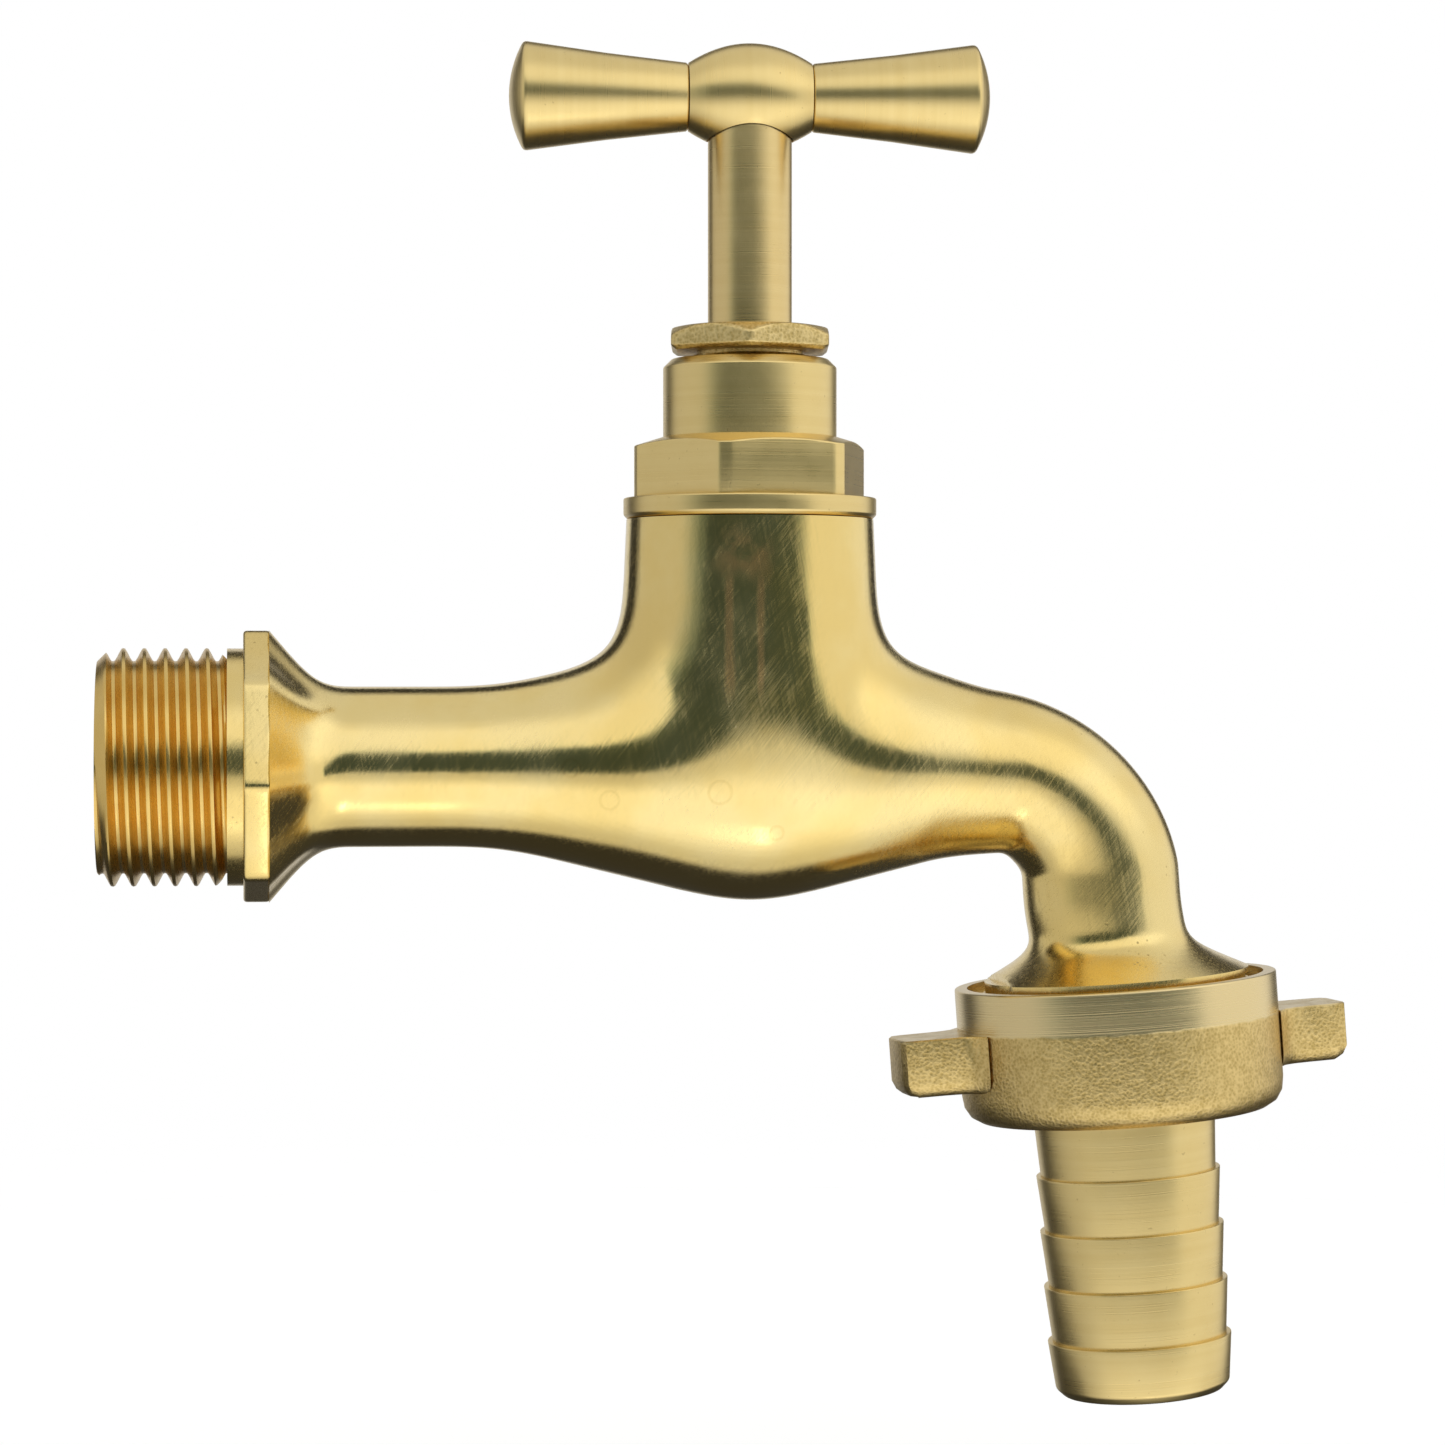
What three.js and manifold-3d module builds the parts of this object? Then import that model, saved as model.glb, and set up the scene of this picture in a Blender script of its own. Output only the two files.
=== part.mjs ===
// A brass hose bib: a garden tap with a screw-down valve, a T-bar handle, and a hose union
// with a wing nut on its spout. Millimetres, +Z up along the spindle, +X away from the wall.
// The origin is on the axis of the inlet thread, in the face of the flange behind it.
import * as THREE from 'three';
import { mergeVertices } from 'three/addons/utils/BufferGeometryUtils.js';
import Module from 'manifold-3d';

const wasm = await Module();
wasm.setup();

// ---- Clearances -------------------------------------------------------------------------
const seatedGap = 0.05;      // between two flat faces that bear on each other
const runningGap = 0.25;     // round a shaft that turns, and between the pieces of the union
const threadGap = 0.15;      // outside the crests of a screwed joint

// ---- Inlet, flange and arm --------------------------------------------------------------
const inletThread = { radius: 20.955 / 2, root: 18.631 / 2, pitch: 1.814 };
const inletLength = 12.7;
const inletShoulder = 1.2;   // plain ring between the thread and the flange
const inletMouth = 6.6;      // radius where the waterway opens
const boreRadius = 5.2;      // waterway through the arm and the spout
const flangeCorner = 12.15;
const flangeThickness = 2.3;
const flangeTurn = THREE.MathUtils.degToRad(7.5);
const flangeFillet = 7.2;    // how far along the arm the back of the flange runs out
const armRadius = 7.1;

// ---- Neck and valve seat ----------------------------------------------------------------
const spindleX = 45;
const bellyRadius = 11.95;
const neckRadius = 11.1;
const neckTaper = 0.75;      // the neck is this much wider where it leaves the belly
const neckTop = 21.2;
const neckTaperLength = 4;
const neckStraight = 5.2;    // from the neck's top down to its taper
const threadRunOut = 1.2;    // clear bore below the bonnet's thread
const chamberRadius = 8.1;
const chamberFloor = -1;
const seatBore = 5;
const seatCrown = 1.3;       // height of the crown above the chamber floor
const seatCrownWidth = 1.2;
const lowerDuct = -6.6;      // middle of the waterway under the seat

// ---- Spout and outlet -------------------------------------------------------------------
const spoutReach = 22.6;     // from the spindle to where the spout starts to bend down
const elbowZ = -10;
const elbowRadius = 9.4;
const elbowCut = 0.6;        // the bend cuts its corner by this much
const spoutRadius = 7.2;
const outletTilt = THREE.MathUtils.degToRad(4.1);
const outletFall = 90 - THREE.MathUtils.radToDeg(outletTilt);
const outletReach = 33.26;   // from the spindle to the middle of the wing nut's upper rim
const outletZ = -19.31;
const outletThread = { radius: 26.441 / 2, root: 24.117 / 2, pitch: 1.814 };
const outletLength = 6.5;
const outletRelief = 0.6;    // height of the groove above the outlet's thread
const reliefDepth = 0.3;     // a groove where a thread runs out is this much below its root
const outletRim = 0.5;       // edge of the flare above the wing nut
const outletBore = 6;

// ---- Bonnet -----------------------------------------------------------------------------
const bonnetThread = { radius: 9, root: 8.1, pitch: 1.5 };
const bonnetThreadLength = 7;
const bonnetReach = 10.2;    // from the neck's top down into the body
const bonnetSkirt = 7.6;
const gasketThickness = 0.75;
const gasketRadius = 10.35;  // it lies in a recess inside the neck's rim
const bonnetFlangeRadius = 11.3;
const bonnetFlangeHeight = 1.85;
const bonnetHexFlats = 19;
const bonnetHexTurned = 10.65;
const bonnetHexHeight = 5.46;
const bonnetHexChamfer = 0.91;
const bonnetBarrelRadius = 7.75;
const bonnetHeight = 14.25;
const bonnetTopChamfer = 0.75;
const bonnetHexTurn = THREE.MathUtils.degToRad(-19);

// ---- Spindle, packing and gland ---------------------------------------------------------
const stemRadius = 3.75;
const spindleThread = { radius: 5.5, root: 4.6, pitch: 1.75 };
const spindleThreadLength = 10.2;
const spindleEnd = 1.5;      // plain end below the spindle's thread
const spindleLift = 5.25;    // three turns of the spindle's thread
const packingRadius = 5.2;
const packingWall = 1.9;     // between the spindle's thread and the packing chamber
const packingWasherHeight = 0.8;
const packingHeight = 1.5;
const packingRings = 3;
const glandRingHeight = 1.05;
const glandThread = { radius: 5.75, root: 5.05, pitch: 1.25 };
const glandStandOff = 0.65;  // between the bonnet and the gland screw's head
const glandHexFlats = 14;
const glandHexHeight = 2.2;
const glandHexChamfer = 0.95;
const glandHexTurn = THREE.MathUtils.degToRad(-7);

// ---- Valve disc -------------------------------------------------------------------------
const discRadius = 7;
const discHeight = 1.6;
const discStemRadius = 2.4;
const discStemLength = 8.65;
const discStudRadius = 1.5;
const washerHeight = 3;
const washerNutFlats = 6.4;
const washerNutHeight = 2.2;
const socketRadius = 2.6;
const snapRingRise = 3.65;   // from the top of the disc
const snapRingHeight = 0.7;
const snapRingInner = 2.0;
const snapRingOuter = 3.1;

// ---- T-bar handle -----------------------------------------------------------------------
const handleRise = 23.4;     // from the top of the bonnet to the handle's axis
const handleTurn = THREE.MathUtils.degToRad(-3.5);
const handleLength = 43;
const hubLength = 11;
const hubRadius = 4.8;
const hubEndRadius = 3.05;
const armMiddleRadius = 3.85;
const armTipRadius = 4.85;
const armCap = 1.3;
const tenonRadius = 1.85;
const hubSocketDepth = 1.9;  // the spindle reaches this far past the handle's axis

// ---- Wing nut, hose tail and gasket, measured along the outlet from the nut's upper rim ---
const nutRadius = 14.5;
const nutLength = 12.2;
const nutBottomRound = 2;
const nutLip = 1.6;
const wingTip = 20.75;
const wingThickness = 7;
const wingTurn = THREE.MathUtils.degToRad(-4);
const wingRound = 1.5;       // at the corners of a wing's tip
const wingRootReach = 3;     // out from the nut to where a wing's root fillet starts
const wingRootSpread = 4;    // how far the root fillet spreads along the nut
const wingStart = 3.7;
const wingEnd = 8.9;
const hoseGasketHeight = 2;
const tailCollarRadius = 12;
const tailRadius = 8.3;      // over the lips of the barbs
const tailNeckRadius = 7.85; // just behind each lip
const tailBore = 5.9;
const barbCount = 4;
const barbPitch = 5;
const firstBarb = 17.4;
const tailEdgeRound = 0.7;

// ---- Finishes ---------------------------------------------------------------------------
const castBrass = { color: 0xb9963f, roughness: 0.22, metalness: 1 };
const turnedBrass = { color: 0xc9b477, roughness: 0.3, metalness: 1 };
const roughBrass = { color: 0xb08f45, roughness: 0.5, metalness: 1 };
const redFibre = { color: 0x8c3b2a, roughness: 0.9, metalness: 0 };
const blackRubber = { color: 0x1c1c1b, roughness: 0.75, metalness: 0 };
const whitePtfe = { color: 0xe9e6dc, roughness: 0.6, metalness: 0 };
const springSteel = { color: 0x9a9a98, roughness: 0.35, metalness: 1 };

const object = new THREE.Group();

// A closed geometry as a solid that can be cut and joined. Corners that lie in one place are
// merged, and a triangle with two corners in one place is dropped.
function solid(geometry) {
  const bare = geometry.clone();
  bare.deleteAttribute('normal');
  bare.deleteAttribute('uv');
  const merged = mergeVertices(bare);
  const corners = merged.index.array;
  const kept = [];
  for (let first = 0; first < corners.length; first += 3) {
    const [a, b, c] = corners.slice(first, first + 3);
    if (a !== b && b !== c && c !== a) {
      kept.push(a, b, c);
    }
  }
  return new wasm.Manifold(new wasm.Mesh({
    numProp: 3,
    vertProperties: merged.attributes.position.array,
    triVerts: new Uint32Array(kept),
  }));
}

// A solid as a named mesh in a group, with its own material.
function add(group, name, shape, finish) {
  const { vertProperties, triVerts } = shape.getMesh();
  const geometry = new THREE.BufferGeometry();
  geometry.setAttribute('position', new THREE.BufferAttribute(vertProperties, 3));
  geometry.setIndex(new THREE.BufferAttribute(triVerts, 1));
  geometry.computeVertexNormals();
  const mesh = new THREE.Mesh(geometry, new THREE.MeshStandardMaterial(finish));
  mesh.name = name;
  group.add(mesh);
  return mesh;
}

// A blank turned about +Z. Its outline is a list of [radius, height], from the bottom up on
// the outside, that starts and ends on the axis or closes on itself.
function turnedBlank(outline, segments) {
  const points = outline.map(([radius, height]) => new THREE.Vector2(radius, height));
  return new THREE.LatheGeometry(points, segments).rotateX(Math.PI / 2);
}

function turned(outline, segments = 24) {
  return solid(turnedBlank(outline, segments));
}

// A plain disc or rod about +Z.
function rodBlank(radius, bottom, top, segments) {
  return turnedBlank([[0, bottom], [radius, bottom], [radius, top], [0, top]], segments);
}

function rod(radius, bottom, top, segments = 24) {
  return solid(rodBlank(radius, bottom, top, segments));
}

// A flat ring about +Z.
function ring(inner, outer, bottom, top, segments = 24) {
  return turned(
    [[inner, bottom], [outer, bottom], [outer, top], [inner, top], [inner, bottom]],
    segments,
  );
}

// A six-sided prism about +Z.
function hexagon(flats, bottom, top, turn) {
  const corner = flats / 2 / Math.cos(Math.PI / 6);
  return solid(rodBlank(corner, bottom, top, 6).rotateZ(turn));
}

// Points along a quarter round, from one angle to another, as [radius, height].
function arc(radiusAtCentre, heightAtCentre, size, from, to, steps) {
  return Array.from({ length: steps + 1 }, (_, step) => {
    const angle = THREE.MathUtils.degToRad(from + (to - from) * step / steps);
    return [radiusAtCentre + size * Math.cos(angle), heightAtCentre + size * Math.sin(angle)];
  });
}

// A right-hand screw thread about +Z. The rows of a turned blank follow the helix, and each
// row stops at the ends of the thread, which are chamfered down to its root.
function threaded({ radius, root, pitch }, bottom, top, segments) {
  const shape = [[0, root], [0.125, root], [0.5, radius], [0.625, radius], [1, root]];
  const turns = Math.ceil((top - bottom) / pitch) + 2;
  const heights = Array.from({ length: turns }, (_, turn) => (
    shape.slice(0, -1).map(([phase]) => (turn - 1 + phase) * pitch)
  )).flat();
  const outline = [[0, 0], ...heights.map((height) => [radius, height]), [0, top - bottom]];
  const blank = turnedBlank(outline, segments);
  const position = blank.attributes.position;
  for (let index = 0; index < position.count; index += 1) {
    const along = index % outline.length;
    if (along === 0 || along === outline.length - 1) {
      continue;
    }
    const advance = Math.floor(index / outline.length) / segments * pitch;
    const height = THREE.MathUtils.clamp(position.getZ(index) + advance, 0, top - bottom);
    const phase = THREE.MathUtils.euclideanModulo((height - advance) / pitch, 1);
    const next = shape.findIndex(([end], place) => place > 0 && phase <= end);
    const [startPhase, startRadius] = shape[next - 1];
    const [endPhase, endRadius] = shape[next];
    const share = (phase - startPhase) / (endPhase - startPhase);
    const chamfer = root + Math.min(height, top - bottom - height);
    const scale = Math.min(THREE.MathUtils.lerp(startRadius, endRadius, share), chamfer) / radius;
    position.setXYZ(index, position.getX(index) * scale, position.getY(index) * scale, height);
  }
  return blank.translate(0, 0, bottom);
}

// A casting or a waterway that runs through stations in the XZ plane. Each station has its
// middle, its radius, a half-width across and its fall below the horizontal in degrees.
function lofted(stations, segments) {
  const outline = [
    [0, 0],
    ...stations.map(({ radius }, place) => [radius, place]),
    [0, stations.length - 1],
  ];
  const blank = turnedBlank(outline, segments);
  const position = blank.attributes.position;
  for (let index = 0; index < position.count; index += 1) {
    const { x, z, radius, width = radius, fall = 0 } = stations[Math.round(position.getZ(index))];
    const across = -position.getY(index) * width / radius;
    const up = position.getX(index);
    const angle = THREE.MathUtils.degToRad(fall);
    position.setXYZ(index, x + up * Math.sin(angle), across, z + up * Math.cos(angle));
  }
  return solid(blank);
}

// The spout's bend, as stations of a given radius from the level stretch round to the outlet.
function elbow(radius, steps) {
  return Array.from({ length: steps + 1 }, (_, step) => {
    const fall = outletFall * step / steps;
    const angle = THREE.MathUtils.degToRad(fall);
    const reach = elbowRadius - elbowCut * Math.sin(2 * angle);
    return { x: elbowX + reach * Math.sin(angle), z: elbowZ + reach * Math.cos(angle), radius, fall };
  });
}

// Places of the pieces along the spindle, from the seat upwards.
const elbowX = spindleX + spoutReach;
const outletX = spindleX + outletReach;
const seatTop = chamberFloor + seatCrown;
const washerBottom = seatTop + seatedGap;
const discBottom = washerBottom + washerHeight + seatedGap;
const discTop = discBottom + discHeight;
const discStemTop = discTop + discStemLength;
const snapRingZ = discTop + snapRingRise;
const spindleBottom = discTop + runningGap;
const spindleThreadBottom = spindleBottom + spindleEnd;
const spindleThreadTop = spindleThreadBottom + spindleThreadLength;
const bonnetFlangeBottom = neckTop + gasketThickness + 2 * seatedGap;
const neckRim = bonnetFlangeBottom - seatedGap;
const bonnetBottom = neckTop - bonnetReach;
const bonnetTop = bonnetFlangeBottom + bonnetHeight;
const handleZ = bonnetTop + handleRise;
const hubSocketTop = handleZ + hubSocketDepth;
const bonnetHexBottom = bonnetFlangeBottom + bonnetFlangeHeight;
const bonnetHexTop = bonnetHexBottom + bonnetHexHeight;
const spindleChamberTop = spindleThreadTop + spindleLift + seatedGap;
const packingFloor = spindleChamberTop + packingWall;
const packingBottom = packingFloor + packingWasherHeight + 2 * seatedGap;
const glandRingBottom = packingBottom + packingRings * (packingHeight + seatedGap);
const glandBottom = glandRingBottom + glandRingHeight + seatedGap;
const glandHexBottom = bonnetTop + glandStandOff;
const glandTop = glandHexBottom + glandHexHeight;
const alongSpindle = new THREE.Matrix4().makeTranslation(spindleX, 0, 0);

// ---- Valve body: one casting from the inlet to the outlet, bored and threaded ---------------
const outletFrame = new THREE.Matrix4()
  .makeRotationY(Math.PI - outletTilt)
  .setPosition(outletX, 0, outletZ);

// A blank turned along the inlet's axis or the handle's.
function alongInlet(blank) {
  return solid(blank.rotateY(Math.PI / 2));
}

function atOutlet(blank) {
  return solid(blank.applyMatrix4(outletFrame));
}

// The flare from the spout to the outlet's rim, and the groove behind its thread. A distance
// along the outlet's axis becomes the middle of a station.
function flare(steps) {
  const size = outletThread.root - spoutRadius;
  const curve = arc(outletThread.root, -outletRim - size, size, 180, 90, steps);
  const groove = outletThread.root - reliefDepth;
  return [...curve, [outletThread.root, 0], [groove, 0], [groove, outletRelief + 0.5]]
    .map(([radius, along]) => ({
      x: outletX + along * Math.sin(outletTilt),
      z: outletZ - along * Math.cos(outletTilt),
      radius,
      fall: outletFall,
    }));
}

function castOutside() {
  const run = lofted([
    { x: flangeThickness / 2, z: 0, radius: armRadius },
    { x: spindleX - 27, z: 0, radius: armRadius + 0.15 },
    { x: spindleX - 22, z: 0, radius: armRadius + 0.4 },
    { x: spindleX - 18, z: 0, radius: armRadius + 0.95 },
    { x: spindleX - 14, z: 0, radius: armRadius + 2 },
    { x: spindleX - 9, z: 0, radius: armRadius + 3.4 },
    { x: spindleX - 4, z: 0, radius: bellyRadius - 0.35 },
    { x: spindleX, z: 0, radius: bellyRadius },
    { x: spindleX + 4, z: 0, radius: bellyRadius - 0.35 },
    { x: elbowX - 13.6, z: 0, radius: spoutRadius + 3.4 },
    { x: elbowX - 8.6, z: 0, radius: spoutRadius + 2 },
    { x: elbowX - 4.6, z: -0.1, radius: spoutRadius + 0.9 },
    ...elbow(spoutRadius, 6),
    ...flare(4),
  ], 28);
  const neck = turnedBlank([
    [0, 0], [neckRadius + neckTaper, 0],
    [neckRadius + neckTaper, neckTop - neckStraight - neckTaperLength],
    [neckRadius + neckTaper / 3, neckTop - neckStraight],
    [neckRadius, neckRim], [0, neckRim],
  ], 32);
  const flangeBack = turnedBlank([
    [0, flangeThickness / 2 - 0.3], [flangeCorner - 0.9, flangeThickness / 2 - 0.3],
    [flangeCorner - 0.9, flangeThickness + 0.4],
    ...arc(armRadius + 4.8, flangeThickness + flangeFillet, 5, 245, 180, 4),
    [0, flangeThickness + flangeFillet],
  ], 24);
  const flange = rodBlank(flangeCorner, 0, flangeThickness, 8).rotateZ(flangeTurn);
  return run
    .add(solid(neck.applyMatrix4(alongSpindle)))
    .add(alongInlet(flangeBack))
    .add(alongInlet(flange));
}

function inletScrew() {
  const screw = threaded(inletThread, -inletLength, -inletShoulder, 24);
  const shoulder = rodBlank(inletThread.radius, -inletShoulder - 0.2, flangeThickness / 2 + 0.3, 24);
  return alongInlet(screw).add(alongInlet(shoulder));
}

function inletWaterway() {
  const duct = lofted([
    { x: -inletLength - 1, z: 0, radius: inletMouth },
    { x: -inletLength, z: 0, radius: inletMouth },
    { x: 2.5 - inletLength, z: 0, radius: boreRadius },
    { x: spindleX - 21, z: 0, radius: boreRadius },
    { x: spindleX - 17, z: -0.8, radius: boreRadius - 0.3, fall: 20 },
    { x: spindleX - 13, z: -3.2, radius: boreRadius - 0.9, fall: 38 },
    { x: spindleX - 9, z: lowerDuct + 1, radius: 3.3, fall: 25, width: 4.6 },
    { x: spindleX - 5, z: lowerDuct, radius: 3.1, fall: 4, width: 5.6 },
    { x: spindleX, z: lowerDuct, radius: 3.2, width: seatBore + 1 },
    { x: spindleX + 5, z: lowerDuct, radius: 2.6, width: 4.6 },
    { x: spindleX + 7.5, z: lowerDuct, radius: 1.2, width: 2.2 },
  ], 20);
  const port = rodBlank(seatBore, lowerDuct, seatTop + 1, 24).applyMatrix4(alongSpindle);
  return duct.add(solid(port));
}

// The chamber over the seat, with the seat's crown standing in it, the threaded socket for the
// bonnet above it, and the way out through the spout.
function spoutWaterway() {
  const crownRadius = seatBore + seatCrownWidth;
  const neckSocketRadius = bonnetThread.radius + threadGap;
  const socketFloor = neckTop - bonnetThreadLength - threadRunOut;
  const chamber = turnedBlank([
    [0, seatTop], [crownRadius, seatTop], [crownRadius, chamberFloor],
    [chamberRadius, chamberFloor], [chamberRadius, socketFloor],
    [neckSocketRadius, socketFloor], [neckSocketRadius, neckTop],
    [gasketRadius + seatedGap, neckTop], [gasketRadius + seatedGap, neckRim + 1], [0, neckRim + 1],
  ], 28);
  const duct = lofted([
    { x: spindleX + crownRadius + 0.3, z: 2.6, radius: 3.2, width: 4.2 },
    { x: spindleX + 9, z: 1.6, radius: boreRadius - 0.8, fall: 12, width: boreRadius - 0.4 },
    { x: spindleX + 13, z: 0.4, radius: boreRadius, fall: 8 },
    ...elbow(boreRadius, 4),
    { x: outletX, z: outletZ, radius: boreRadius, fall: outletFall },
  ], 20);
  const mouth = rodBlank(outletBore, -2, outletLength + 1, 24);
  return solid(chamber.applyMatrix4(alongSpindle)).add(duct).add(atOutlet(mouth));
}

const outletScrew = atOutlet(threaded(outletThread, outletRelief, outletLength, 28));
const valveBody = castOutside()
  .add(inletScrew())
  .add(outletScrew)
  .subtract(inletWaterway())
  .subtract(spoutWaterway());
add(object, 'valve_body', valveBody, castBrass);

// ---- Everything that stands on the spindle's axis ---------------------------------------------
const spindleGroup = new THREE.Group();
spindleGroup.position.x = spindleX;
object.add(spindleGroup);

// Bonnet: screwed into the neck, bored for the spindle's thread, the packing and the gland.
function bonnet() {
  const skirt = turned([
    [0, bonnetBottom], [bonnetSkirt, bonnetBottom], [bonnetSkirt, bonnetHexBottom],
    [0, bonnetHexBottom],
  ]);
  const screw = solid(threaded(bonnetThread, neckTop - bonnetThreadLength, neckTop - 0.4, 20));
  const flange = turned([
    [0, bonnetFlangeBottom], [bonnetFlangeRadius - 0.35, bonnetFlangeBottom],
    [bonnetFlangeRadius, bonnetFlangeBottom + 0.35], [bonnetFlangeRadius, bonnetHexBottom],
    [0, bonnetHexBottom],
  ], 32);
  const hexEnvelope = turned([
    [0, bonnetHexBottom - 0.5], [bonnetHexTurned, bonnetHexBottom - 0.5],
    [bonnetHexTurned, bonnetHexTop - bonnetHexChamfer],
    [bonnetBarrelRadius, bonnetHexTop], [0, bonnetHexTop],
  ], 32);
  const hex = hexagon(bonnetHexFlats, bonnetHexBottom - 0.5, bonnetHexTop, bonnetHexTurn);
  const barrel = turned([
    [0, bonnetHexTop - 2], [bonnetBarrelRadius, bonnetHexTop - 2],
    [bonnetBarrelRadius, bonnetTop - bonnetTopChamfer],
    [bonnetBarrelRadius - bonnetTopChamfer, bonnetTop], [0, bonnetTop],
  ]);
  const spindleChamber = rod(spindleThread.radius + threadGap, bonnetBottom - 1, spindleChamberTop);
  const stemHole = rod(stemRadius + runningGap, spindleChamberTop - 1, packingFloor + 1);
  const packingChamber = rod(packingRadius, packingFloor, bonnetTop);
  const glandSocket = rod(glandThread.radius + threadGap, glandBottom - 0.3, bonnetTop + 1);
  return skirt.add(screw).add(flange).add(hex.intersect(hexEnvelope)).add(barrel)
    .subtract(spindleChamber)
    .subtract(stemHole)
    .subtract(packingChamber)
    .subtract(glandSocket);
}
add(spindleGroup, 'bonnet', bonnet(), turnedBrass);

const gasketBottom = neckTop + seatedGap;
add(
  spindleGroup,
  'bonnet_gasket',
  ring(bonnetThread.radius + threadGap, gasketRadius, gasketBottom, gasketBottom + gasketThickness),
  redFibre,
);

// Spindle: the thread that lifts it is below, and a socket in its end holds the valve disc.
function spindle() {
  const lowerEnd = rod(spindleThread.root - reliefDepth, spindleBottom, spindleThreadTop, 24);
  const screw = solid(threaded(spindleThread, spindleThreadBottom, spindleThreadTop, 20));
  const stem = rod(stemRadius, spindleThreadTop - 0.5, hubSocketTop - runningGap);
  const socket = rod(socketRadius, spindleBottom - 1, discStemTop + runningGap, 24);
  const groove = rod(
    snapRingOuter + seatedGap,
    snapRingZ - seatedGap,
    snapRingZ + snapRingHeight + seatedGap,
    24,
  );
  const crossHole = rodBlank(tenonRadius + threadGap, -hubLength, hubLength, 20)
    .rotateY(Math.PI / 2).rotateZ(handleTurn).translate(0, 0, handleZ);
  return lowerEnd.add(screw).add(stem).subtract(socket).subtract(groove).subtract(solid(crossHole));
}
add(spindleGroup, 'spindle', spindle(), turnedBrass);

// Stuffing box: a washer, the packing rings, the gland ring and the gland screw that presses them.
const packingInner = stemRadius + seatedGap;
const packingOuter = packingRadius - seatedGap;
const packingWasherBottom = packingFloor + seatedGap;
add(
  spindleGroup,
  'packing_washer',
  ring(packingInner, packingOuter, packingWasherBottom, packingWasherBottom + packingWasherHeight, 20),
  turnedBrass,
);
for (let count = 0; count < packingRings; count += 1) {
  const bottom = packingBottom + count * (packingHeight + seatedGap);
  const shape = ring(packingInner, packingOuter, bottom, bottom + packingHeight, 20);
  add(spindleGroup, `packing_ring_${count + 1}`, shape, whitePtfe);
}
add(
  spindleGroup,
  'gland_ring',
  ring(packingInner, packingOuter, glandRingBottom, glandRingBottom + glandRingHeight, 20),
  turnedBrass,
);

function glandScrew() {
  const screw = solid(threaded(glandThread, glandBottom, glandHexBottom - 0.3, 20));
  const neck = rod(glandThread.root - reliefDepth, glandBottom + 1, glandHexBottom + 0.5, 24);
  const corner = glandHexFlats / 2 / Math.cos(Math.PI / 6);
  const dome = turned([
    [0, glandHexBottom], [corner, glandHexBottom], [corner, glandTop - glandHexChamfer],
    [glandHexFlats / 2 - 0.2, glandTop], [0, glandTop],
  ]);
  const hex = hexagon(glandHexFlats, glandHexBottom, glandTop, glandHexTurn);
  const stemHole = rod(stemRadius + runningGap, glandBottom - 1, glandTop + 1, 24);
  return screw.add(neck).add(hex.intersect(dome)).subtract(stemHole);
}
add(spindleGroup, 'gland_screw', glandScrew(), roughBrass);

// Valve disc, its rubber washer and the nut that holds it, and the ring that lets the spindle
// turn in the disc but lift it.
const nutTop = washerBottom - seatedGap;
function valveDisc() {
  const plate = rod(discRadius, discBottom, discTop);
  const stem = turned([
    [0, discTop - 0.1], [discStemRadius, discTop - 0.1], [discStemRadius, discStemTop - 0.5],
    [discStemRadius - 0.5, discStemTop], [0, discStemTop],
  ], 24);
  const stud = rod(discStudRadius, nutTop - washerNutHeight - 0.4, discBottom + 0.1, 20);
  const groove = ring(
    snapRingInner - seatedGap,
    discStemRadius + 1,
    snapRingZ - seatedGap,
    snapRingZ + snapRingHeight + seatedGap,
    24,
  );
  return plate.add(stem).add(stud).subtract(groove);
}
add(spindleGroup, 'valve_disc', valveDisc(), turnedBrass);
add(
  spindleGroup,
  'valve_washer',
  ring(discStudRadius + seatedGap, discRadius - 0.2, washerBottom, washerBottom + washerHeight),
  blackRubber,
);

function washerNut() {
  const hole = rod(discStudRadius + seatedGap, nutTop - washerNutHeight - 1, nutTop + 1, 20);
  return hexagon(washerNutFlats, nutTop - washerNutHeight, nutTop, 0).subtract(hole);
}
add(spindleGroup, 'washer_nut', washerNut(), turnedBrass);

function snapRing() {
  const opening = new THREE.BoxGeometry(4, 1.2, 4).translate(3.5, 0, snapRingZ);
  return ring(snapRingInner, snapRingOuter, snapRingZ, snapRingZ + snapRingHeight, 24)
    .subtract(solid(opening));
}
add(spindleGroup, 'disc_retaining_ring', snapRing(), springSteel);

// ---- T-bar handle: a barrel hub over the spindle, and two arms that lock it -------------------
const handle = new THREE.Group();
handle.position.set(spindleX, 0, handleZ);
handle.rotation.z = handleTurn;
object.add(handle);

function handleHub() {
  const steps = 8;
  const outline = Array.from({ length: steps + 1 }, (_, step) => {
    const along = step / steps * 2 - 1;
    const radius = hubRadius - (hubRadius - hubEndRadius) * along * along;
    return [radius, along * hubLength / 2];
  });
  const barrel = turnedBlank([[0, -hubLength / 2], ...outline, [0, hubLength / 2]], 24);
  const socket = rod(stemRadius + threadGap, -hubRadius - 1, hubSocketTop - handleZ);
  const tenonHole = rodBlank(tenonRadius + threadGap, -hubLength, hubLength, 20);
  return alongInlet(barrel).subtract(socket).subtract(alongInlet(tenonHole));
}
add(handle, 'handle_hub', handleHub(), turnedBrass);

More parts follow.
